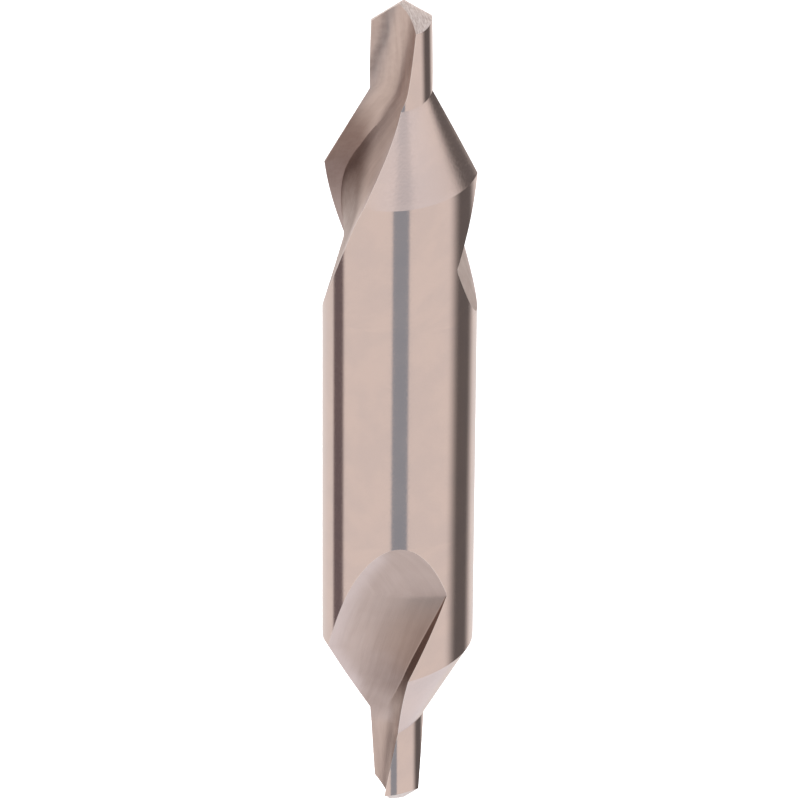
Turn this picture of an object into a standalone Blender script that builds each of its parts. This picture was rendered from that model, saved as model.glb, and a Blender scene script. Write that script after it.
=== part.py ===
"""A centre drill: a short two-ended drill that starts a hole and countersinks it for a lathe centre.

The axis runs along Z with the origin at mid-length. Each end is described in its own frame, where
height is measured from mid-length towards the point, and angle from the countersink's outer lip,
counted the way that the tool turns.
"""
import bpy
import bmesh
from math import atan2, cos, pi, radians, sin, sqrt, tan
from mathutils import Matrix, Vector

MM = 0.001

# Standard size of the tool
SHANK_RADIUS = 5.0 * MM
PILOT_RADIUS = 2.0 * MM
OVERALL_LENGTH = 56.0 * MM
PILOT_LENGTH = 5.84 * MM
COUNTERSINK_ANGLE = radians(60)
POINT_ANGLE = radians(118)

# Flutes: a wide hollow with a straight floor that ramps outwards, and a face beside the cutting edge
HELIX_PITCH = 65.5 * MM
FLUTE_LENGTH = 20.5 * MM
WEB_THICKNESS = 0.68 * MM
FACE_LEAN = radians(7.2)
FACE_START = 16.86 * MM
FACE_GROWTH = 0.194
FACE_WIDTH = 1.4 * MM
CREASE_BLEND = 1.5 * MM
CREASE_SHARE = 0.88
HOLLOW_BEND = 0.52
PILOT_HOLLOW_DIP = 0.45 * MM
PILOT_HOLLOW_POWER = 2.56
PILOT_HOLLOW_BLEND = 0.2
FLOOR_RAMP = 0.319
FLOOR_RAMP_TOP = 5.92 * MM
FLOOR_RAMP_BLEND = 0.5 * MM
RUNOUT_FACING = radians(6.65)
FLOOR_SLOW_TURN = radians(0.565) / MM
FLOOR_QUICK_TURN = radians(41.9)
QUICK_TURN_START = 14.33 * MM
QUICK_TURN_LENGTH = 16.7 * MM
PILOT_LIP_LAG = radians(22.5)

# Backing off behind the cutting edges
COUNTERSINK_RELIEF = 0.74 * MM
PILOT_RELIEF = 0.2 * MM
POINT_LIP_ANGLE = radians(18)
FLANK_CLEARANCE = 0.25
TOP_FLANK_ROUNDING = 1.55 * MM
BOTTOM_FLANK_ROUNDING = 3.2 * MM

# The two ends are not in line with each other
TOP_LIP_ANGLE = radians(-12)
BOTTOM_LIP_ANGLE = radians(-81.8)

# Fineness of the mesh
TURN_STEPS = 112
POINT_RINGS = 9
PILOT_RINGS = 8
CONE_RINGS = 7
FLUTE_STATIONS = 34
FACE_POINTS = 7
HOLLOW_POINTS = 6
SHARP_EDGE = radians(14)

HALF_LENGTH = OVERALL_LENGTH / 2
POINT_SLOPE = 1 / tan(POINT_ANGLE / 2)
CONE_SLOPE = tan(COUNTERSINK_ANGLE / 2)
JUNCTION_HEIGHT = HALF_LENGTH - PILOT_LENGTH
CONE_BASE_HEIGHT = JUNCTION_HEIGHT - (SHANK_RADIUS - PILOT_RADIUS) / CONE_SLOPE
TWIST_RATE = 2 * pi / HELIX_PITCH
SHOULDER_HEIGHT = HALF_LENGTH - PILOT_RADIUS * POINT_SLOPE
FLUTE_END = HALF_LENGTH - FLUTE_LENGTH

# How far the cutting shapes pass the steel that they cut
ALLOWANCE = 0.5 * MM
OVERCUT_RADIUS = 1.2 * SHANK_RADIUS
CUTTER_REACH = 1.7 * SHANK_RADIUS
FORM_REACH = 0.75 * OVERALL_LENGTH
CLOSING_ANGLE = radians(30)
SAME_HEIGHT = 0.01 * MM
SHORTEST_EDGE = 0.05 * MM


def start_scene():
    """Remove every object and return collections for the part and for its cutters."""
    for item in list(bpy.data.objects):
        bpy.data.objects.remove(item, do_unlink=True)
    root = bpy.context.scene.collection
    part = bpy.data.collections.new("centre_drill")
    cutters = bpy.data.collections.new("cutters")
    root.children.link(part)
    root.children.link(cutters)
    return part, cutters


def body_lip_angle(height):
    """Angle of the helix that the outer lip follows down the shank."""
    return TWIST_RATE * (height - CONE_BASE_HEIGHT)


def lip_angle(height):
    """Angle of the cutting edge at the surface: on the shank, the countersink or the pilot."""
    helix = body_lip_angle(height)
    if height <= CONE_BASE_HEIGHT:
        return helix
    span = JUNCTION_HEIGHT - CONE_BASE_HEIGHT
    climbed = min((height - CONE_BASE_HEIGHT) / span, 1)
    return helix - PILOT_LIP_LAG * climbed


def surface_radius(height):
    """Radius at the cutting edge, before any backing off."""
    if height <= CONE_BASE_HEIGHT:
        return SHANK_RADIUS
    if height < JUNCTION_HEIGHT:
        return SHANK_RADIUS - (height - CONE_BASE_HEIGHT) * CONE_SLOPE
    return PILOT_RADIUS


def behind_lip(angle, height):
    """Share of the backing off at an angle, from 0 at either lip to 1 a quarter turn behind it."""
    lag = (lip_angle(height) - angle) % pi
    return sin(lag)


def flank_height(radius, angle, rounding_radius):
    """Height of the ground point: two rounded flanks that fall away behind their lips."""
    along = radius * cos(POINT_LIP_ANGLE - angle)
    behind = radius * sin(POINT_LIP_ANGLE - angle)
    rounding = behind ** 2 / (2 * rounding_radius)
    return HALF_LENGTH - abs(POINT_SLOPE * along + FLANK_CLEARANCE * behind) - rounding


def spread(start, end, count):
    """Evenly spaced values from start to end, both included."""
    return [start + (end - start) * step / count for step in range(count + 1)]


def turned(name, profile, cutters):
    """Turn a closed-to-the-axis profile of (radius, height) pairs, listed from top to bottom."""
    mesh = bpy.data.meshes.new(name)
    points = [(radius, 0, height) for radius, height in profile]
    edges = [(index, index + 1) for index in range(len(points) - 1)]
    mesh.from_pydata(points, edges, [])
    item = bpy.data.objects.new(name, mesh)
    cutters.objects.link(item)
    screw = item.modifiers.new("turn", "SCREW")
    screw.axis = "Z"
    screw.steps = TURN_STEPS
    screw.render_steps = TURN_STEPS
    screw.use_merge_vertices = True
    screw.merge_threshold = 1e-6
    apply_modifiers(item)
    hide_cutter(item)
    return item


def hide_cutter(item):
    """Show a cutter as wire and keep it out of renders."""
    item.hide_render = True
    item.display_type = "WIRE"


def apply_modifiers(item):
    """Replace an object's mesh by what its modifiers make of it."""
    graph = bpy.context.evaluated_depsgraph_get()
    made = bpy.data.meshes.new_from_object(item.evaluated_get(graph))
    item.modifiers.clear()
    item.data = made


def end_form(name, flank_rounding, cutters):
    """The backed-off point, pilot and countersink, on a body wider than the shank."""
    wide_height = JUNCTION_HEIGHT - (OVERCUT_RADIUS - PILOT_RADIUS) / CONE_SLOPE
    profile = [(radius, HALF_LENGTH - radius * POINT_SLOPE)
               for radius in spread(0, PILOT_RADIUS, POINT_RINGS)]
    profile += [(PILOT_RADIUS, height)
                for height in spread(SHOULDER_HEIGHT, JUNCTION_HEIGHT, PILOT_RINGS)[1:]]
    profile += [(PILOT_RADIUS + (JUNCTION_HEIGHT - height) * CONE_SLOPE, height)
                for height in spread(JUNCTION_HEIGHT, wide_height, CONE_RINGS)[1:]]
    profile += [(OVERCUT_RADIUS, -FORM_REACH), (0, -FORM_REACH)]
    item = turned(name, profile, cutters)
    for vertex in item.data.vertices:
        if vertex.co.z > 0:
            vertex.co = backed_off(vertex.co, flank_rounding)
    return item


def backed_off(place, flank_rounding):
    """Move one point of the turned end inwards, and towards the shank, behind its lip."""
    radius = sqrt(place.x ** 2 + place.y ** 2)
    angle = atan2(place.y, place.x)
    height = place.z
    share = behind_lip(angle, height)
    pilot_fall = PILOT_RELIEF * share * min(radius / PILOT_RADIUS, 1)
    cone_fall = (COUNTERSINK_RELIEF - PILOT_RELIEF) * share / CONE_SLOPE
    if height > SHOULDER_HEIGHT - SAME_HEIGHT:
        radius -= pilot_fall
        height = flank_height(radius, angle, flank_rounding)
    elif height > JUNCTION_HEIGHT:
        radius -= pilot_fall
        height -= cone_fall * (SHOULDER_HEIGHT - height) / (SHOULDER_HEIGHT - JUNCTION_HEIGHT)
    else:
        radius -= pilot_fall
        height -= cone_fall
    return Vector((radius * cos(angle), radius * sin(angle), height))


def soft_ramp(distance, blend):
    """Zero that turns smoothly into a straight rise as the distance passes zero."""
    return (sqrt(distance ** 2 + blend ** 2) + distance) / 2


def floor_distance(height):
    """Distance of the flute's floor from the axis: a straight ramp that levels out at the web."""
    below = HALF_LENGTH - FLOOR_RAMP_TOP - height
    return WEB_THICKNESS / 2 + FLOOR_RAMP * soft_ramp(below, FLOOR_RAMP_BLEND)


def crease_place(height):
    """Where the body's face ends and its hollow begins, on a line that has no kink of its own."""
    onto_cone = soft_ramp(height - CONE_BASE_HEIGHT, CREASE_BLEND)
    radius = max(SHANK_RADIUS - onto_cone * CONE_SLOPE, PILOT_RADIUS)
    climbed = min(onto_cone / (JUNCTION_HEIGHT - CONE_BASE_HEIGHT), 1)
    angle = body_lip_angle(height) - PILOT_LIP_LAG * climbed
    width = FACE_GROWTH * (height - HALF_LENGTH + FACE_START)
    width = max(0, min(FACE_WIDTH, width))
    return radius * unit(angle) - width * unit(angle - FACE_LEAN)


def floor_facing(height):
    """Direction that the flute's floor faces: it turns slowly at the shank, then with the helix."""
    slow = FLOOR_SLOW_TURN * (height - FLUTE_END)
    share = (height - HALF_LENGTH + QUICK_TURN_START) / QUICK_TURN_LENGTH
    share = max(0, min(1, share))
    return RUNOUT_FACING + slow + FLOOR_QUICK_TURN * share ** 2 * (3 - 2 * share)


def unit(angle):
    """Unit vector across the axis at an angle."""
    return Vector((cos(angle), sin(angle)))


def mixed(first, second, share):
    """The place that lies at a share of the way from one place to another."""
    return first + (second - first) * share


def curve(first, bend, last, count):
    """Places along a quadratic curve, after its first place and up to its last."""
    return [mixed(mixed(first, bend, share), mixed(bend, last, share), share)
            for share in spread(0, 1, count)[1:]]


def flute_section(height):
    """Outline across the axis of the space that one flute's wheel sweeps clear.

    On the body a straight face leans in from the cutting edge to a crease, and a hollow goes on
    from there and levels out on the flute's floor at the heel of the next land. On the pilot one
    smooth hollow does all of it, and up the countersink the body's outline turns into that one.
    """
    radius = surface_radius(height)
    facing = unit(floor_facing(height))
    along_floor = unit(floor_facing(height) + pi / 2)
    foot = floor_distance(height) * facing
    half_chord = sqrt(max(radius ** 2 - foot.length_squared, 0))
    heel = foot + half_chord * along_floor
    radial = unit(lip_angle(height))
    lip = radius * radial
    to_floor = (lip - foot).dot(facing) / radial.dot(facing)
    below_lip = lip - max(to_floor, -CUTTER_REACH) * radial
    pilot_bend = below_lip - PILOT_HOLLOW_DIP * facing

    crease = crease_place(height)
    depth = (crease - foot).dot(facing)
    if depth <= 0:
        crease = below_lip
        depth = (crease - foot).dot(facing)
    if (lip - crease).dot(radial) < SHORTEST_EDGE:
        lip = crease + SHORTEST_EDGE * radial
    width = max((heel - crease).dot(along_floor), SHORTEST_EDGE)
    level = crease - depth * facing
    bend = level + HOLLOW_BEND * width * along_floor
    end = level + width * along_floor

    climbed = (height - CONE_BASE_HEIGHT) / (JUNCTION_HEIGHT - CONE_BASE_HEIGHT)
    as_pilot = max(0, 1 - soft_ramp(1 - climbed, PILOT_HOLLOW_BLEND)) ** PILOT_HOLLOW_POWER
    before_crease = mixed(lip, pilot_bend, CREASE_SHARE)
    after_crease = mixed(pilot_bend, heel, CREASE_SHARE)
    face_bend = mixed(mixed(lip, crease, 0.5), before_crease, as_pilot)
    hollow_bend = mixed(bend, after_crease, as_pilot)
    crease = mixed(crease, mixed(before_crease, after_crease, CREASE_SHARE), as_pilot)
    end = mixed(end, heel, as_pilot)

    outline = [lip + CUTTER_REACH * radial, lip]
    outline += curve(lip, face_bend, crease, FACE_POINTS)
    outline += curve(crease, hollow_bend, end, HOLLOW_POINTS)
    outline.append(end + CUTTER_REACH * along_floor)
    outline.append(2 * CUTTER_REACH * unit(floor_facing(height) + CLOSING_ANGLE))
    return outline


def flute_cutter(name, turn, cutters):
    """Loft the flute's outline along the axis into a closed cutter, turned about the axis."""
    mesh = bpy.data.meshes.new(name)
    build = bmesh.new()
    rows = []
    for height in spread(FLUTE_END - ALLOWANCE, HALF_LENGTH + 2 * ALLOWANCE, FLUTE_STATIONS):
        spin = Matrix.Rotation(turn, 2)
        outline = [spin @ point for point in flute_section(height)]
        rows.append([build.verts.new((point.x, point.y, height)) for point in outline])
    for lower, upper in zip(rows, rows[1:]):
        for index in range(len(lower)):
            following = (index + 1) % len(lower)
            build.faces.new((lower[index], lower[following], upper[following], upper[index]))
    build.faces.new(reversed(rows[0]))
    build.faces.new(rows[-1])
    bmesh.ops.recalc_face_normals(build, faces=build.faces)
    build.to_mesh(mesh)
    build.free()
    item = bpy.data.objects.new(name, mesh)
    cutters.objects.link(item)
    hide_cutter(item)
    return item


def shape_with(part, cutter, operation):
    """Add one exact boolean to the part."""
    step = part.modifiers.new(cutter.name, "BOOLEAN")
    step.operation = operation
    step.solver = "EXACT"
    step.object = cutter


def steel():
    """Ground high-speed steel."""
    material = bpy.data.materials.new("ground_steel")
    material.use_nodes = True
    shader = material.node_tree.nodes["Principled BSDF"]
    shader.inputs["Base Color"].default_value = (0.62, 0.56, 0.53, 1)
    shader.inputs["Metallic"].default_value = 1.0
    shader.inputs["Roughness"].default_value = 0.32
    return material


def build_drill():
    """Shape the bar at both ends and cut its flutes."""
    part_collection, cutters = start_scene()
    bar_end = HALF_LENGTH + ALLOWANCE
    bar = turned("centre_drill", [(0, bar_end), (SHANK_RADIUS, bar_end),
                                  (SHANK_RADIUS, -bar_end), (0, -bar_end)], part_collection)
    bar.hide_render = False
    bar.display_type = "TEXTURED"
    turn_over = Matrix.Rotation(pi, 4, "X")
    ends = {
        "top": (Matrix.Rotation(TOP_LIP_ANGLE, 4, "Z"), TOP_FLANK_ROUNDING),
        "bottom": (Matrix.Rotation(BOTTOM_LIP_ANGLE, 4, "Z") @ turn_over, BOTTOM_FLANK_ROUNDING),
    }
    for end, (place, flank_rounding) in ends.items():
        form = end_form(end + "_form", flank_rounding, cutters)
        form.matrix_world = place
        shape_with(bar, form, "INTERSECT")
        for side in (0, 1):
            flute = flute_cutter(f"{end}_flute_{side + 1}", side * pi, cutters)
            flute.matrix_world = place
            shape_with(bar, flute, "DIFFERENCE")
    apply_modifiers(bar)
    bar.data.materials.clear()
    bar.data.materials.append(steel())
    bar.data.shade_smooth()
    bar.data.set_sharp_from_angle(angle=SHARP_EDGE)


build_drill()
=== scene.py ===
"""A double-ended centre drill, ground from one bar of high-speed steel, in a plain pale studio.

Lengths in the drill's section are in millimetres, and the mesh is scaled to metres at its end. An end
is worked out once, upright, with angles from its countersink's outer lip, and then set on the bar.
"""
import bpy
import bmesh
import numpy as np
from mathutils import Matrix, Vector


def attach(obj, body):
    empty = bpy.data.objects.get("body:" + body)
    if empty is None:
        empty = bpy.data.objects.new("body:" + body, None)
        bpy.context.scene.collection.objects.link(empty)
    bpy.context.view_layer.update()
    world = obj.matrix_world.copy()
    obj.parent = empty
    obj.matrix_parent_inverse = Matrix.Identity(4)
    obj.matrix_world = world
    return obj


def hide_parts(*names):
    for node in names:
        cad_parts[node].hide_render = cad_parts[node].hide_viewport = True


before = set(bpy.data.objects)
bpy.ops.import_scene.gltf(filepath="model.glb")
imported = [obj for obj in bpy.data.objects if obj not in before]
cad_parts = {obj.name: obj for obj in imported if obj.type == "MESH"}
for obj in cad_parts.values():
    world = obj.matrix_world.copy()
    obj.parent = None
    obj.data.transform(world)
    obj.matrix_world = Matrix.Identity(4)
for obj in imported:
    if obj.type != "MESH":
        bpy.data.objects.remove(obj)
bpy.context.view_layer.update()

# The drill.
# One bar of hardened high-speed steel with a short pilot drill and a 60 degree countersink at each
# end. Two right-hand flutes an end are cut with a wheel, and shank, lands and points are ground.
SHANK_RADIUS = 5.0
PILOT_RADIUS = 2.0
HALF_LENGTH = 28.0
JUNCTION = HALF_LENGTH - 5.84
CONE_SLOPE = np.tan(np.radians(30))
CONE_BASE = JUNCTION - (SHANK_RADIUS - PILOT_RADIUS) / CONE_SLOPE
TWIST_RATE = 2 * np.pi / 65.5
PILOT_LIP_LAG = np.radians(22.5)
COUNTERSINK_RELIEF = 0.74
PILOT_RELIEF = 0.2
POINT_SLOPE = 1 / np.tan(np.radians(59))
POINT_LIP_ANGLE = np.radians(18)
FLANK_CLEARANCE = 0.25
FLANK_ROUNDING = {"top": 1.55, "bottom": 3.2}
ACROSS_FLUTE = 110
ACROSS_LAND = 40
ACROSS_FACE = 82
TO_WEB = (ACROSS_FLUTE + ACROSS_LAND) // 2


def lip_angle(height):
    """Angle of the cutting edge: a helix, which lags steadily more as it climbs the countersink."""
    climbed = np.clip((height - CONE_BASE) / (JUNCTION - CONE_BASE), 0, 1)
    return TWIST_RATE * (height - CONE_BASE) - PILOT_LIP_LAG * climbed


def lip_radius(height):
    """Radius of the cutting edge: shank, then a straight taper, then pilot."""
    return np.clip(SHANK_RADIUS - (height - CONE_BASE) * CONE_SLOPE, PILOT_RADIUS, SHANK_RADIUS)


def relief_share(angle, height):
    """Sine of how far an angle lies behind its lip, so 0 at a lip and 1 a quarter turn behind."""
    return np.sin((lip_angle(height) - angle) % np.pi)


def land_radius(angle, height):
    """Radius of the outside: the larger of the backed-off cone and pilot, within the bar."""
    share = relief_share(angle, height)
    drop = (COUNTERSINK_RELIEF - PILOT_RELIEF) * share / CONE_SLOPE
    share = relief_share(angle, height + drop)
    cone = PILOT_RADIUS + (JUNCTION - height) * CONE_SLOPE - COUNTERSINK_RELIEF * share
    return np.minimum(SHANK_RADIUS, np.maximum(cone, PILOT_RADIUS - PILOT_RELIEF * share))


def flank_height(x, y, rounding):
    """Height of the point: a 118 degree roof along the lip, with flanks that round off behind it."""
    along = x * np.cos(POINT_LIP_ANGLE) + y * np.sin(POINT_LIP_ANGLE)
    behind = x * np.sin(POINT_LIP_ANGLE) - y * np.cos(POINT_LIP_ANGLE)
    roof = np.abs(POINT_SLOPE * along + FLANK_CLEARANCE * behind)
    return HALF_LENGTH - roof - behind ** 2 / (2 * rounding)


def soft_ramp(distance, blend):
    """Zero that turns smoothly into a straight rise as the distance passes zero: a hyperbola."""
    return (np.sqrt(distance ** 2 + blend ** 2) + distance) / 2


def floor_distance(height):
    """Distance of the flute's floor from the axis: a straight ramp that levels out at the web."""
    return 0.34 + 0.319 * soft_ramp(HALF_LENGTH - 5.92 - height, 0.5)


def floor_facing(height):
    """Direction that the floor faces: a slow steady turn plus a smooth step of 42 degrees."""
    step = np.clip((height - 13.67) / 16.7, 0, 1)
    turned = 6.65 + 0.565 * (height - 7.5) + 41.9 * step ** 2 * (3 - 2 * step)
    return np.radians(turned)


def flute_place(height, share, web_bend):
    """Point of a flute's outline, as x and y in the end's own frame.

    On the body a straight face leans in from the lip to a crease, and a quadratic curve goes on
    from there and levels out on the floor at the heel of the next land. On the pilot one quadratic
    curve goes all the way, split where the crease would be, and up the cone the bends, crease and
    end of the body's outline move smoothly into those. share runs from 0 at the lip to 1 at the
    heel, with fixed shares for the crease and for the web.
    """
    radius, lip = lip_radius(height), lip_angle(height)
    facing, distance = floor_facing(height), floor_distance(height)
    raked = radius * np.cos(lip - facing) > distance
    half_chord = np.sqrt(np.maximum(SHANK_RADIUS ** 2 - distance ** 2, 0))
    lip_out = np.where(raked, radius * np.cos(lip - facing), distance)
    lip_across = np.where(raked, radius * np.sin(lip - facing), -half_chord)
    heel = heel_angle(height)
    heel_across = land_radius(heel, height) * np.sin(heel - facing)

    onto_cone = soft_ramp(height - CONE_BASE, 1.5)
    crease_radius = np.maximum(SHANK_RADIUS - onto_cone * CONE_SLOPE, PILOT_RADIUS)
    crease_angle = (TWIST_RATE * (height - CONE_BASE) - facing
                    - PILOT_LIP_LAG * np.minimum(onto_cone / (JUNCTION - CONE_BASE), 1))
    face = np.clip(0.194 * (height - 11.14), 0, 1.4)
    lean = crease_angle - np.radians(7.2)
    crease_out = crease_radius * np.cos(crease_angle) - face * np.cos(lean)
    crease_across = crease_radius * np.sin(crease_angle) - face * np.sin(lean)
    creased = raked & (crease_out > distance)
    crease_out = np.where(creased, crease_out, distance)
    crease_across = np.where(creased, crease_across, lip_across)
    end = np.maximum(heel_across, crease_across)

    climbed = (height - CONE_BASE) / (JUNCTION - CONE_BASE)
    as_pilot = np.maximum(1 - soft_ramp(1 - climbed, 0.2), 0) ** 2.56
    lip_height = np.maximum(lip_out, 0.1)
    pilot_bend = (distance - 0.45, lip_across * distance / lip_height)
    body = ((lip_out + crease_out) / 2, (lip_across + crease_across) / 2,
            crease_out, crease_across, distance, crease_across + 0.52 * (end - crease_across))
    split = 0.88
    before = (lip_out + (pilot_bend[0] - lip_out) * split,
              lip_across + (pilot_bend[1] - lip_across) * split)
    after = (pilot_bend[0] + (distance - pilot_bend[0]) * split,
             pilot_bend[1] + (heel_across - pilot_bend[1]) * split)
    pilot = (before[0], before[1], before[0] + (after[0] - before[0]) * split,
             before[1] + (after[1] - before[1]) * split, after[0], after[1])
    bend_out, bend_across, crease_out, crease_across, hollow_out, hollow_across = (
        near + (far - near) * as_pilot for near, far in zip(body, pilot))

    face_share = np.where(share < WEB_SHARE, web_bend * share / WEB_SHARE,
                          web_bend + (1 - web_bend) * (share - WEB_SHARE)
                          / (CREASE_SHARE - WEB_SHARE))
    face_share = np.minimum(face_share, 1)
    hollow_share = np.maximum((share - CREASE_SHARE) / (1 - CREASE_SHARE), 0)
    on_face = share < CREASE_SHARE
    out = np.where(on_face, quadratic(lip_out, bend_out, crease_out, face_share),
                   quadratic(crease_out, hollow_out, distance, hollow_share))
    across = np.where(on_face, quadratic(lip_across, bend_across, crease_across, face_share),
                      quadratic(crease_across, hollow_across, end, hollow_share))
    return (out * np.cos(facing) - across * np.sin(facing),
            out * np.sin(facing) + across * np.cos(facing))


def quadratic(first, bend, last, share):
    """Value along a quadratic curve from first to last that is drawn towards bend."""
    return first * (1 - share) ** 2 + 2 * bend * share * (1 - share) + last * share ** 2


def heel_angle(height):
    """Angle where the floor meets the outside ahead of it, found by repeated substitution."""
    facing, distance = floor_facing(height), floor_distance(height)
    radius = np.full_like(height, SHANK_RADIUS)
    for _ in range(12):
        angle = facing + np.arccos(np.clip(distance / radius, -1, 1))
        radius = land_radius(angle, height)
    return angle


def flute_start(height):
    """Angle where the flute opens: the near end of the floor's chord, until the lip takes over."""
    half = np.arccos(np.clip(floor_distance(height) / SHANK_RADIUS, -1, 1))
    chord = floor_facing(height) - half
    depth = lip_radius(height) * np.cos(lip_angle(height) - floor_facing(height))
    return np.where(depth > floor_distance(height), lip_angle(height), chord)


WEB_SHARE = TO_WEB / ACROSS_FLUTE
CREASE_SHARE = ACROSS_FACE / ACROSS_FLUTE


def half_ring(height, web_bend):
    """One flute and the land that follows it: places across the axis, and how much of the backing
    off each has. height holds a row of heights for each column."""
    columns = np.arange(ACROSS_FLUTE + ACROSS_LAND)[:, None]
    flute = columns <= ACROSS_FLUTE
    share = np.clip(columns / ACROSS_FLUTE, 0, 1) + 0 * height
    x, y = flute_place(height, share, web_bend)
    heel = heel_angle(height)
    onward = np.clip((columns - ACROSS_FLUTE) / ACROSS_LAND, 0, 1)
    angle = heel + (flute_start(height) + np.pi - heel) * onward
    radius = land_radius(angle, height)
    x = np.where(flute, x, radius * np.cos(angle))
    y = np.where(flute, y, radius * np.sin(angle))
    relief = np.where(flute, relief_share(heel, height) * share, relief_share(angle, height))
    return x, y, relief


def end_surface(runout_rows, cone_rows, pilot_rows, rounding):
    """Half of an end, as columns by rows, from where the flute runs out up to the ground point.

    Rows follow the backed-off base of the cone, its junction with the pilot, and the flank.
    """
    low, high = 6.0, 9.0
    for _ in range(50):
        middle = (low + high) / 2
        low, high = (middle, high) if floor_distance(middle) > SHANK_RADIUS else (low, middle)
    start = high
    crease = POINT_LIP_ANGLE + np.pi / 2 - np.arctan(FLANK_CLEARANCE / POINT_SLOPE)
    web_bend = 0.7
    top = np.full(1, HALF_LENGTH - 0.1)
    for _ in range(60):
        x, y = flute_place(top, np.full(1, WEB_SHARE), web_bend)
        off = np.arctan2(y, x) - crease
        web_bend = float(web_bend - 0.1 * off[0])
        top = flank_height(x, y, rounding)
    columns = ACROSS_FLUTE + ACROSS_LAND
    top = np.full((columns, 1), HALF_LENGTH - 1.0)
    for _ in range(30):
        x, y, _relief = half_ring(top, web_bend)
        top = (top + flank_height(x, y, rounding)) / 2
    runout = np.linspace(0, 1, runout_rows + 1) ** 2
    rows = np.concatenate([runout, 1 + np.arange(1, cone_rows + 1) / cone_rows,
                           2 + np.arange(1, pilot_rows + 1) / pilot_rows])[None, :]
    height = start + (top - start) * rows / 3
    for _ in range(25):
        _x, _y, relief = half_ring(height, web_bend)
        base = CONE_BASE - COUNTERSINK_RELIEF * relief / CONE_SLOPE
        junction = JUNCTION - (COUNTERSINK_RELIEF - PILOT_RELIEF) * relief / CONE_SLOPE
        height = np.where(rows <= 1, start + (base - start) * rows,
                          np.where(rows <= 2, base + (junction - base) * (rows - 1),
                                   junction + (top - junction) * (rows - 2)))
    x, y, _relief = half_ring(height, web_bend)
    return x, y, height


def joined(columns, rows, wrap):
    """Corner indices of the quads of a grid stored column by column, optionally closed round."""
    near = np.arange(columns if wrap else columns - 1)[:, None]
    far = (near + 1) % columns
    row = np.arange(rows - 1)[None, :]
    quads = np.stack([near * rows + row, far * rows + row,
                      far * rows + row + 1, near * rows + row + 1], axis=-1)
    return quads.reshape(-1, 4)


ACROSS_POINT = 10
RUNOUT_ROWS, CONE_ROWS, PILOT_ROWS = 60, 34, 34
LAND_OR_SHANK, FLUTE, FLANK, COUNTERSINK = 0, 1, 2, 3


def whole_end(rounding):
    """Points, quads, two surface maps and finishes of one upright end: walls, then the point.

    The walls are the half surface and its copy turned by half a turn. Each half of the point is
    a ruled grid from the rake side of the lip to the land side, lifted to the flank's height.
    The first map has the millimetres across, counted from the crease in a flute and from the heel
    on a land, and the height. The second has the distance from the nearest long edge, and height.
    """
    x, y, z = end_surface(RUNOUT_ROWS, CONE_ROWS, PILOT_ROWS, rounding)
    x, y, z = np.concatenate([x, -x]), np.concatenate([y, -y]), np.concatenate([z, z])
    columns, rows = x.shape
    points = np.stack([x, y, z], axis=-1).reshape(-1, 3)
    quads = joined(columns, rows, True)
    steps = np.hypot(np.roll(x, -1, 0) - x, np.roll(y, -1, 0) - y)
    flute_columns = np.arange(columns) % (columns // 2) < ACROSS_FLUTE
    near, edge, from_crease = np.zeros_like(x), np.zeros_like(x), np.zeros_like(x)
    for first in (0, ACROSS_FLUTE, columns // 2, columns // 2 + ACROSS_FLUTE):
        last = first + (ACROSS_FLUTE if flute_columns[first] else ACROSS_LAND)
        near[first:last] = np.cumsum(steps[first:last], 0) - steps[first:last]
        edge[first:last] = near[last - 1] + steps[last - 1]
        if flute_columns[first]:
            from_crease[first:last] = near[first + ACROSS_FACE]
    column, row = quads[:, 0] // rows, quads[:, 0] % rows
    spots = (np.stack([column] * 4, axis=-1), np.stack([row, row, row + 1, row + 1], axis=-1))
    along = near[spots] + steps[spots] * np.array([0, 1, 1, 0])
    heights = z.reshape(-1)[quads]
    surface = np.stack([along - from_crease[spots], heights], axis=-1)
    edges = np.stack([np.minimum(along, edge[spots] - along), heights], axis=-1)
    on_cone = (row >= RUNOUT_ROWS) & (row < RUNOUT_ROWS + CONE_ROWS)
    finish = np.where(flute_columns[column], FLUTE, np.where(on_cone, COUNTERSINK, LAND_OR_SHANK))

    side = np.arange(TO_WEB + 1)
    rake_x, rake_y = x[side, -1], y[side, -1]
    land_x, land_y = x[-side % columns, -1], y[-side % columns, -1]
    share = np.linspace(0, 1, ACROSS_POINT + 1)[None, :]
    flank_x = rake_x[:, None] * (1 - share) + land_x[:, None] * share
    flank_y = rake_y[:, None] * (1 - share) + land_y[:, None] * share
    flank_z = flank_height(flank_x, flank_y, rounding)
    flank_z[:, 0], flank_z[:, -1] = z[side, -1], z[-side % columns, -1]
    for turn in (1, -1):
        grid = np.stack([turn * flank_x, turn * flank_y, flank_z], axis=-1).reshape(-1, 3)
        more = joined(TO_WEB + 1, ACROSS_POINT + 1, False) + len(points)
        points = np.concatenate([points, grid])
        quads = np.concatenate([quads, more])
        surface = np.concatenate([surface, points[more][:, :, :2]])
        edges = np.concatenate([edges, np.ones((len(more), 4, 2))])
        finish = np.concatenate([finish, np.full(len(more), FLANK)])
    return points, quads, surface, edges, finish


SHANK_ROWS = 13


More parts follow.
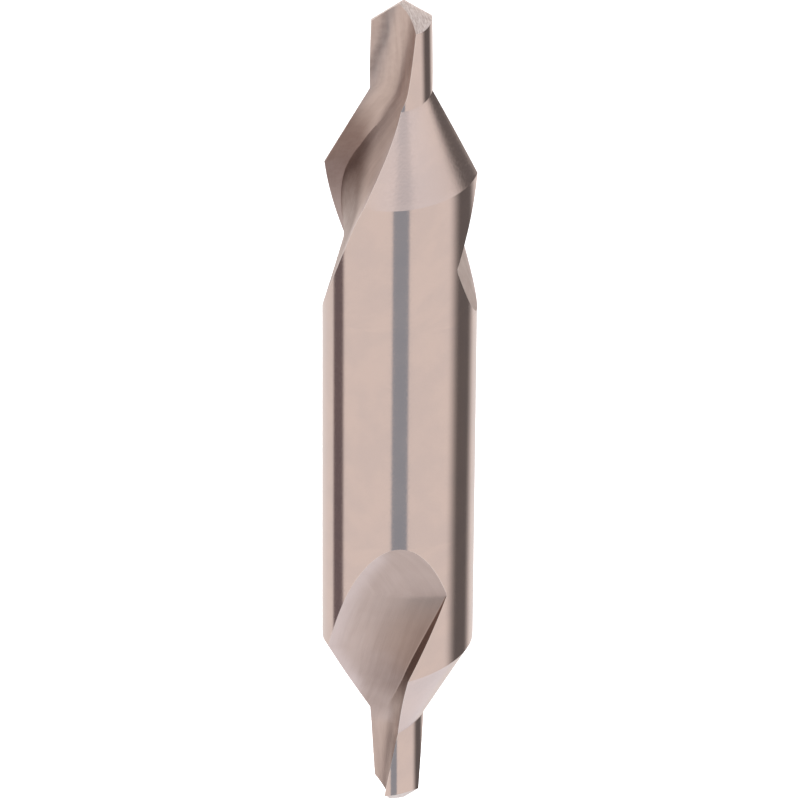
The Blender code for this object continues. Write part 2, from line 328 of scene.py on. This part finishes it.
def shank_surface(start, top_angle, bottom_angle):
    """The plain shank between the two ends: rings that turn evenly from one end's columns to the
    other's, at the shank's radius."""
    count = 2 * ACROSS_LAND
    pitch = 2 * np.pi / count
    first = floor_facing(start)
    upper = top_angle + first + pitch * np.arange(count)
    lower = bottom_angle - first
    shift = (lower - upper + pitch / 2) % pitch - pitch / 2
    share = np.linspace(0, 1, SHANK_ROWS)[None, :]
    angle = upper[:, None] + shift[:, None] * (1 - share)
    height = start * (2 * share - 1) + 0 * angle
    points = np.stack([SHANK_RADIUS * np.cos(angle), SHANK_RADIUS * np.sin(angle), height], axis=-1)
    quads = joined(count, SHANK_ROWS, True)
    across = (angle * SHANK_RADIUS).reshape(-1)[quads]
    wraps = across[:, 1] < across[:, 0] - SHANK_RADIUS
    across[:, [1, 2]] += np.where(wraps, 2 * np.pi * SHANK_RADIUS, 0)[:, None]
    surface = np.stack([across, height.reshape(-1)[quads]], axis=-1)
    edges = np.ones((len(quads), 4, 2))
    return points.reshape(-1, 3), quads, surface, edges, np.full(len(quads), LAND_OR_SHANK)


def turned_about(points, angle, over):
    """Points turned end over end if asked, then turned about the axis."""
    x, y, z = points.T
    if over:
        y, z = -y, -z
    return np.stack([x * np.cos(angle) - y * np.sin(angle),
                     x * np.sin(angle) + y * np.cos(angle), z], axis=-1)


TOP_ANGLE = np.radians(-12)
BOTTOM_ANGLE = np.radians(-81.8)
BOTTOM_MARKS_AWAY = 60
MERGED_WITHIN, SHARP_EDGE = 2e-8, np.radians(13)
UPRIGHT = whole_end(FLANK_ROUNDING["top"])
OVERTURNED = whole_end(FLANK_ROUNDING["bottom"])
parts = [(turned_about(UPRIGHT[0], TOP_ANGLE, False), *UPRIGHT[1:]),
         (turned_about(OVERTURNED[0], BOTTOM_ANGLE, True), OVERTURNED[1],
          OVERTURNED[2] + np.array([0, BOTTOM_MARKS_AWAY]), *OVERTURNED[3:]),
         shank_surface(UPRIGHT[0][:, 2].min(), TOP_ANGLE, BOTTOM_ANGLE)]
offsets = np.cumsum([0] + [len(part[0]) for part in parts[:-1]])
all_points = np.concatenate([part[0] for part in parts]) * 0.001
all_quads = np.concatenate([part[1] + offset for part, offset in zip(parts, offsets)])

steel_mesh = bpy.data.meshes.new("centre_drill_steel")
steel_mesh.from_pydata(all_points, [], all_quads.tolist())
for map_name, index in (("surface", 2), ("edges", 3)):
    corners = np.concatenate([part[index] for part in parts]).reshape(-1)
    steel_mesh.uv_layers.new(name=map_name).uv.foreach_set("vector", corners.astype(np.float32))
finishes = np.concatenate([part[4] for part in parts]).astype(np.int32)
steel_mesh.polygons.foreach_set("material_index", finishes)

merged = bmesh.new()
merged.from_mesh(steel_mesh)
bmesh.ops.remove_doubles(merged, verts=merged.verts, dist=MERGED_WITHIN)
bmesh.ops.dissolve_degenerate(merged, edges=merged.edges, dist=1e-8)
merged.to_mesh(steel_mesh)
merged.free()
steel_mesh.shade_smooth()
steel_mesh.set_sharp_from_angle(angle=SHARP_EDGE)


ROUND_BEYOND = 0.985 * SHANK_RADIUS / 1000


def give_round_normals(mesh):
    """Point the normals of the plain round surface straight out from the axis; a zero elsewhere
    keeps the normal that the mesh has."""
    places = np.empty(len(mesh.vertices) * 3)
    mesh.vertices.foreach_get("co", places)
    corner_vertex = np.empty(len(mesh.loops), int)
    mesh.loops.foreach_get("vertex_index", corner_vertex)
    sides = np.empty(len(mesh.polygons), int)
    mesh.polygons.foreach_get("loop_total", sides)
    kinds = np.empty(len(mesh.polygons), int)
    mesh.polygons.foreach_get("material_index", kinds)
    outward = places.reshape(-1, 3)[corner_vertex] * (1, 1, 0)
    length = np.linalg.norm(outward, axis=1, keepdims=True)
    on_bar = (np.repeat(kinds, sides)[:, None] == LAND_OR_SHANK) & (length > ROUND_BEYOND)
    mesh.normals_split_custom_set(np.where(on_bar, outward / np.maximum(length, 1e-9), 0))


give_round_normals(steel_mesh)
drill = bpy.data.objects.new("ground_drill", steel_mesh)
bpy.context.scene.collection.objects.link(drill)
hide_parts("centre_drill")
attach(drill, "root")


def add_node(tree, kind, inputs, **settings):
    """Add a node, set its options, and give each input a value or a link."""
    node = tree.nodes.new("ShaderNode" + kind)
    for name, value in settings.items():
        setattr(node, name, value)
    for name, value in inputs.items():
        if isinstance(value, bpy.types.NodeSocket):
            tree.links.new(value, node.inputs[name])
        else:
            node.inputs[name].default_value = value
    return node


def smooth_step(tree, value, low, high, at_low, at_high):
    """A value that goes smoothly from one level to another between two limits."""
    step = add_node(tree, "MapRange", {"Value": value, "From Min": low, "From Max": high,
                                       "To Min": at_low, "To Max": at_high},
                    interpolation_type="SMOOTHSTEP")
    return step.outputs["Result"]


def calculated(tree, operation, *values):
    """One step of arithmetic."""
    return add_node(tree, "Math", dict(enumerate(values)), operation=operation).outputs[0]


def new_group(name, inputs, outputs):
    """A node group with named float or vector inputs and float outputs."""
    group = bpy.data.node_groups.new(name, "ShaderNodeTree")
    for socket, kind in inputs:
        group.interface.new_socket(socket, in_out="INPUT", socket_type="NodeSocket" + kind)
    for socket in outputs:
        group.interface.new_socket(socket, in_out="OUTPUT", socket_type="NodeSocketFloat")
    given = group.nodes.new("NodeGroupInput").outputs
    return group, given, group.nodes.new("NodeGroupOutput").inputs


def grinding_group():
    """Marks of a grinding wheel: noise drawn out along one direction, with a finer set on top."""
    group, given, made = new_group(
        "grinding_marks", [("Place", "Vector"), ("Turn", "Float"), ("Length", "Float"),
                           ("Width", "Float")], ["Marks", "Height"])
    turned = add_node(group, "VectorRotate", {"Vector": given["Place"], "Angle": given["Turn"]},
                      rotation_type="Z_AXIS")
    parts = add_node(group, "SeparateXYZ", {"Vector": turned.outputs[0]})
    along = calculated(group, "DIVIDE", parts.outputs["X"], given["Length"])
    over = calculated(group, "DIVIDE", parts.outputs["Y"], given["Width"])
    place = add_node(group, "CombineXYZ", {"X": along, "Y": over})
    coarse = add_node(group, "TexNoise", {"Vector": place.outputs[0], "Scale": 1.0, "Detail": 3.0,
                                          "Roughness": 0.6}, noise_dimensions="2D")
    fine = add_node(group, "TexNoise", {"Vector": place.outputs[0], "Scale": 5.3, "Detail": 2.0},
                    noise_dimensions="2D")
    marks = smooth_step(group, coarse.outputs["Fac"], 0.3, 0.7, 0.0, 1.0)
    group.links.new(marks, made["Marks"])
    both = calculated(group, "MULTIPLY_ADD", fine.outputs["Fac"], 0.4, coarse.outputs["Fac"])
    group.links.new(both, made["Height"])
    return group


def mottle_group():
    """Uneven polish: cloudy noise of a given size."""
    group, given, made = new_group("mottle", [("Place", "Vector"), ("Size", "Float")], ["Mottle"])
    place = add_node(group, "VectorMath", {0: given["Place"], "Scale": 1.0}, operation="SCALE")
    group.links.new(calculated(group, "DIVIDE", 1.0, given["Size"]), place.inputs["Scale"])
    cloud = add_node(group, "TexNoise", {"Vector": place.outputs[0], "Scale": 1.0, "Detail": 4.0},
                     noise_dimensions="2D")
    group.links.new(smooth_step(group, cloud.outputs["Fac"], 0.3, 0.7, 0.0, 1.0), made["Mottle"])
    return group


def worn_and_highlit_edge_group():
    """A ragged strip along an edge, 1 at the edge and 0 away from it."""
    group, given, made = new_group("worn_and_highlit_edge", [("Place", "Vector"), ("Distance", "Float"),
                                                 ("Width", "Float")], ["Wear"])
    ragged = add_node(group, "TexNoise", {"Vector": given["Place"], "Scale": 2.2, "Detail": 4.0},
                      noise_dimensions="2D")
    reach = calculated(group, "MULTIPLY", ragged.outputs["Fac"], given["Width"])
    share = calculated(group, "DIVIDE", given["Distance"], reach)
    group.links.new(smooth_step(group, share, 0.6, 2.2, 1.0, 0.0), made["Wear"])
    return group


GRINDING, MOTTLE, WORN_AND_HIGHLIT_EDGE = grinding_group(), mottle_group(), worn_and_highlit_edge_group()


def marks_of(tree, group, **inputs):
    """The outputs of a group, with each of its inputs given by name."""
    node = add_node(tree, "Group", {}, node_tree=group)
    for name, value in inputs.items():
        if isinstance(value, bpy.types.NodeSocket):
            tree.links.new(value, node.inputs[name])
        else:
            node.inputs[name].default_value = value
    return node.outputs


def blended(tree, share, first, second):
    """A colour between two colours."""
    mix = add_node(tree, "Mix", {}, data_type="RGBA")
    for index, value in ((0, share), (6, first), (7, second)):
        if isinstance(value, bpy.types.NodeSocket):
            tree.links.new(value, mix.inputs[index])
        else:
            mix.inputs[index].default_value = (*value, 1) if index else value
    return mix.outputs[2]


def new_steel(name):
    """A metal material with its shader, and the two maps' coordinates."""
    material = bpy.data.materials.new(name)
    material.use_nodes = True
    tree = material.node_tree
    shader = tree.nodes["Principled BSDF"]
    shader.inputs["Metallic"].default_value = 1
    surface = add_node(tree, "UVMap", {}, uv_map="surface").outputs[0]
    edges = add_node(tree, "UVMap", {}, uv_map="edges").outputs[0]
    return material, tree, shader, surface, edges


def finish_steel(tree, shader, colour, roughness, height, depth):
    """Feed the shader; depth is how deep the relief is, in metres."""
    tree.links.new(colour, shader.inputs["Base Color"])
    tree.links.new(roughness, shader.inputs["Roughness"])
    relief = add_node(tree, "Bump", {"Strength": 1.0, "Distance": depth, "Height": height})
    tree.links.new(relief.outputs[0], shader.inputs["Normal"])


def round_steel(name, polish, frosting, cloud_depth, speck):
    """Cylindrically ground steel: fine lines round the axis, and small frosted specks between
    polished ones."""
    material, tree, shader, surface, edges = new_steel(name)
    lines = marks_of(tree, GRINDING, Place=surface, Turn=0.0, Length=5.0, Width=0.07)
    cloud = marks_of(tree, MOTTLE, Place=surface, Size=speck)["Mottle"]
    wide = marks_of(tree, MOTTLE, Place=surface, Size=2.6)["Mottle"]
    distance = add_node(tree, "SeparateXYZ", {"Vector": edges}).outputs["X"]
    # Paler along the edges: wear, together with a painted highlight along them.
    edge_wear_and_highlight = marks_of(tree, WORN_AND_HIGHLIT_EDGE, Place=surface, Distance=distance, Width=0.06)["Wear"]
    colour = blended(tree, wide, (0.705, 0.58, 0.535), (0.745, 0.605, 0.55))
    colour = blended(tree, edge_wear_and_highlight, colour, (0.80, 0.69, 0.64))
    roughness = calculated(tree, "MULTIPLY_ADD", lines["Marks"], 0.03, polish)
    roughness = calculated(tree, "MULTIPLY_ADD", cloud, frosting, roughness)
    height = calculated(tree, "MULTIPLY_ADD", cloud, cloud_depth, lines["Height"])
    finish_steel(tree, shader, colour, roughness, height, 5e-7)
    return material


FLUTE_DULL, FLUTE_PALE = (0.60, 0.475, 0.42), (0.67, 0.535, 0.475)
PAINTED_SHADE_BROWN, PILOT_SHADE_DARK, GRAINED = (0.26, 0.175, 0.148), (0.28, 0.21, 0.19), (0.82, 0.69, 0.62)
HEEL_HIGHLIGHT, CREASE_HIGHLIGHT, WORN_AND_HIGHLIT_PALE = (0.82, 0.69, 0.65), (0.60, 0.48, 0.42), (0.72, 0.60, 0.54)


def flute_steel():
    """Wheel-ground flutes: streaks along the flute, painted shade in the hollow and beside the lip,
    and on the pilot painted shade in a dark band that leaves the lip towards the point. The upper
    end's painted shade covers a wider strip than the lower one's. Heel and crease have painted
    highlights."""
    material, tree, shader, surface, edges = new_steel("ground_flute")
    place = add_node(tree, "TexCoord", {}).outputs["Object"]
    along_axis = add_node(tree, "SeparateXYZ", {"Vector": place}).outputs["Z"]
    across = add_node(tree, "SeparateXYZ", {"Vector": surface}).outputs["X"]
    apart, height = add_node(tree, "SeparateXYZ", {"Vector": edges}).outputs[:2]
    body = smooth_step(tree, height, 20.5, 22.6, 1.0, 0.0)
    upper = smooth_step(tree, along_axis, -0.001, 0.001, 0.0, 1.0)
    lower = calculated(tree, "SUBTRACT", 1.0, upper)

    streaks = marks_of(tree, GRINDING, Place=surface, Turn=1.45, Length=6.0, Width=0.5)
    lines = marks_of(tree, GRINDING, Place=surface, Turn=1.45, Length=2.5, Width=0.08)
    cloud = marks_of(tree, MOTTLE, Place=surface, Size=0.9)["Mottle"]
    clearer = smooth_step(tree, height, 11, 15, 0.4, 1.0)
    steady = calculated(tree, "MULTIPLY", streaks["Marks"], clearer)
    colour = blended(tree, steady, FLUTE_DULL, FLUTE_PALE)

    # Painted shade on the lower end: the hollow darker near the crease and fading towards the heel,
    # and the face beside the lip darker too.
    bowl = calculated(tree, "MULTIPLY", smooth_step(tree, across, -0.6, 5.4, 0.72, 0.0), body)
    bowl = calculated(tree, "MULTIPLY", bowl, smooth_step(tree, height, 9.5, 14, 0.0, 1.0))
    bowl = calculated(tree, "MULTIPLY", bowl, smooth_step(tree, height, 18.0, 20.5, 1.0, 0.4))
    face = calculated(tree, "MULTIPLY", smooth_step(tree, across, -0.05, 0.03, 1.0, 0.0), body)
    past = calculated(tree, "SUBTRACT", apart, smooth_step(tree, height, 15, 19.5, 1.6, 0.35))
    face = calculated(tree, "MULTIPLY", face, smooth_step(tree, past, -0.1, 0.2, 1.0, 0.0))
    face = calculated(tree, "MULTIPLY", face, smooth_step(tree, height, 17.0, 19.5, 1.0, 0.65))
    below = calculated(tree, "MULTIPLY", calculated(tree, "MAXIMUM", bowl, face), lower)
    # Painted shade on the upper end: a darker strip on the lip's side of the flute.
    beside = smooth_step(tree, calculated(tree, "ADD", across, height), 18.3, 20.3, 1.0, 0.0)
    above = calculated(tree, "MULTIPLY", calculated(tree, "MULTIPLY", beside, upper), body)
    above = calculated(tree, "MULTIPLY", above, smooth_step(tree, height, 11.0, 16.5, 0.2, 0.92))
    painted_shade = calculated(tree, "ADD", below, above)
    colour = blended(tree, painted_shade, colour, PAINTED_SHADE_BROWN)

    # Painted shade on the pilot: a dark band along the flute's crease, leaving the lip towards the
    # point, and the lip half of the lower pilot's flute darker.
    leaving = smooth_step(tree, height, 23.4, 26.0, 0.1, 0.85)
    pilot_shade = calculated(tree, "ABSOLUTE", calculated(tree, "SUBTRACT", apart, leaving))
    pilot_shade = smooth_step(tree, pilot_shade, 0.05, 0.5, 1.0, 0.0)
    pilot_shade = calculated(tree, "MULTIPLY", pilot_shade, calculated(tree, "MULTIPLY_ADD", lower, 0.3, 0.55))
    pilot_shade = calculated(tree, "MULTIPLY", pilot_shade, smooth_step(tree, height, 22.6, 23.6, 0.0, 1.0))
    pilot_shade = calculated(tree, "MULTIPLY", pilot_shade, smooth_step(tree, across, -1.1, -0.5, 1.0, 0.0))
    shade = smooth_step(tree, across, -1.9, -0.3, 0.5, 0.0)
    shade = calculated(tree, "MULTIPLY", shade, smooth_step(tree, height, 22.4, 23.4, 0.0, 1.0))
    pilot_shade = calculated(tree, "MAXIMUM", pilot_shade, calculated(tree, "MULTIPLY", shade, lower))
    colour = blended(tree, pilot_shade, colour, PILOT_SHADE_DARK)

    # Painted highlight: paler within a millimetre and a half of the heel, on the heel side of the
    # flute.
    heel = smooth_step(tree, apart, 0.0, 1.5, 0.7, 0.0)
    heel = calculated(tree, "MULTIPLY", heel, smooth_step(tree, across, 1.5, 3.0, 0.0, 1.0))
    colour = blended(tree, heel, colour, HEEL_HIGHLIGHT)
    # Painted highlight: a thin pale line along the crease on the lower end.
    crease_highlight = smooth_step(tree, calculated(tree, "ABSOLUTE", across), 0.02, 0.1, 0.5, 0.0)
    crease_highlight = calculated(tree, "MULTIPLY", calculated(tree, "MULTIPLY", crease_highlight, body), lower)
    colour = blended(tree, crease_highlight, colour, CREASE_HIGHLIGHT)
    grain = marks_of(tree, MOTTLE, Place=surface, Size=0.36)["Mottle"]
    grain = calculated(tree, "MULTIPLY", grain, smooth_step(tree, height, 20.0, 24.0, 0.04, 0.17))
    colour = blended(tree, calculated(tree, "MULTIPLY", grain, upper), colour, GRAINED)
    # Paler along the lip and heel edges: wear, together with a painted highlight along them.
    edge_wear_and_highlight = marks_of(tree, WORN_AND_HIGHLIT_EDGE, Place=surface, Distance=apart, Width=0.04)["Wear"]
    colour = blended(tree, calculated(tree, "MULTIPLY", edge_wear_and_highlight, 0.6), colour, WORN_AND_HIGHLIT_PALE)
    roughness = calculated(tree, "MULTIPLY_ADD", lines["Marks"], 0.08, 0.34)
    roughness = calculated(tree, "MULTIPLY_ADD", cloud, 0.06, roughness)
    relief = calculated(tree, "MULTIPLY_ADD", cloud, 0.8, lines["Height"])
    finish_steel(tree, shader, colour, roughness, relief, 3e-6)
    return material


def flank_steel():
    """The point's flanks, ground last on a coarse wheel: short crossing scratches and grains."""
    material, tree, shader, surface, _edges = new_steel("ground_flank")
    first = marks_of(tree, GRINDING, Place=surface, Turn=0.9, Length=0.26, Width=0.11)
    second = marks_of(tree, GRINDING, Place=surface, Turn=2.3, Length=0.2, Width=0.1)
    colour = blended(tree, first["Marks"], (0.72, 0.60, 0.54), (0.98, 0.87, 0.81))
    roughness = calculated(tree, "MULTIPLY_ADD", second["Marks"], 0.14, 0.3)
    height = calculated(tree, "ADD", first["Height"], second["Height"])
    finish_steel(tree, shader, colour, roughness, height, 2.4e-5)
    return material


steel_mesh.materials.append(round_steel("ground_shank", 0.035, 0.12, 0.3, 0.11))
steel_mesh.materials.append(flute_steel())
steel_mesh.materials.append(flank_steel())
steel_mesh.materials.append(round_steel("ground_countersink", 0.13, 0.1, 2.6, 0.16))

# The floor.
# A wide sheet of white paper, laid flat. It lies well below the tool, since the photo shows no
# shadow, and the polished steel doesn't mirror it.
FLOOR_HEIGHT, FLOOR_REACH = -0.15, 3
floor_mesh = bpy.data.meshes.new("pale_floor")
corners = [(x * FLOOR_REACH, y * FLOOR_REACH, FLOOR_HEIGHT)
           for x, y in ((-1, -1), (1, -1), (1, 1), (-1, 1))]
floor_mesh.from_pydata(corners, [], [(0, 1, 2, 3)])
floor = bpy.data.objects.new("pale_floor", floor_mesh)
bpy.context.scene.collection.objects.link(floor)
floor.visible_glossy = False
paper = bpy.data.materials.new("white_paper")
paper.use_nodes = True
sheet = paper.node_tree.nodes["Principled BSDF"].inputs
sheet["Base Color"].default_value = (0.95, 0.95, 0.95, 1)
sheet["Roughness"].default_value = 0.9
floor_mesh.materials.append(paper)

# The studio.
# An even pale tent all round, with three upright cards in it, one in front and one at each side,
# that the polished bar reflects as upright stripes. The tent's top and bottom are a little cooler.
SURROUND, TOP_AND_BOTTOM = (0.86, 0.82, 0.80), (0.90, 0.91, 0.96)
CARDS = {"left": (-104, 12, 4, (0.18, 0.15, 0.16)), "front": (1.5, 12, 2, (0.35, 0.40, 0.46)),
         "right": (111, 23, 13, (0.15, 0.14, 0.14))}
world = bpy.data.worlds.new("studio")
bpy.context.scene.world = world
world.use_nodes = True


def tent_light(tree):
    """The surround's light with the cards in it. Each card has its compass direction from the
    front, half its width and the softness of its edges, in degrees, and its own colour."""
    direction = add_node(tree, "TexCoord", {}).outputs["Generated"]
    x, y, rise = add_node(tree, "SeparateXYZ", {"Vector": direction}).outputs
    azimuth = calculated(tree, "ARCTAN2", x, calculated(tree, "MULTIPLY", y, -1.0))
    standing = calculated(tree, "MULTIPLY", smooth_step(tree, rise, -0.75, -0.6, 0.0, 1.0),
                          smooth_step(tree, rise, 0.45, 0.8, 1.0, 0.0))
    light = blended(tree, standing, TOP_AND_BOTTOM, SURROUND)
    for middle, half_width, edge, colour in CARDS.values():
        off = calculated(tree, "SUBTRACT", azimuth, np.radians(middle))
        off = calculated(tree, "ABSOLUTE", off)
        seen = smooth_step(tree, off, np.radians(half_width - edge), np.radians(half_width + edge),
                           1.0, 0.0)
        light = blended(tree, calculated(tree, "MULTIPLY", seen, standing), light, colour)
    return light


tent = world.node_tree
tent.links.new(tent_light(tent), tent.nodes["Background"].inputs["Color"])

lamp = bpy.data.lights.new("overhead_softbox", "AREA")
lamp.shape = "DISK"
lamp.size = 0.6
lamp.energy = 12
overhead = bpy.data.objects.new("overhead_softbox", lamp)
overhead.location = (0, 0, 0.7)
overhead.visible_glossy = False
bpy.context.scene.collection.objects.link(overhead)

# The camera.
# A long lens, raised a little above the tool and turned a touch, so that the tool fills the
# frame upright as it does in the photo.
VIEW_HEIGHT = np.radians(22.2)
CAMERA_DISTANCE = 0.298
lens = bpy.data.cameras.new("camera")
lens.sensor_width = 36
lens.lens = 206.06
lens.clip_start = 0.01
lens.shift_x = 0.00125
lens.shift_y = 0.016875
camera = bpy.data.objects.new("camera", lens)
bpy.context.scene.collection.objects.link(camera)
towards = Vector((0, -np.cos(VIEW_HEIGHT), np.sin(VIEW_HEIGHT)))
camera.matrix_world = (Matrix.Translation(towards * CAMERA_DISTANCE)
                       @ towards.to_track_quat("Z", "Y").to_matrix().to_4x4()
                       @ Matrix.Rotation(np.radians(0.39), 4, "Z"))
bpy.context.scene.camera = camera
bpy.context.scene.view_settings.view_transform = "Standard"
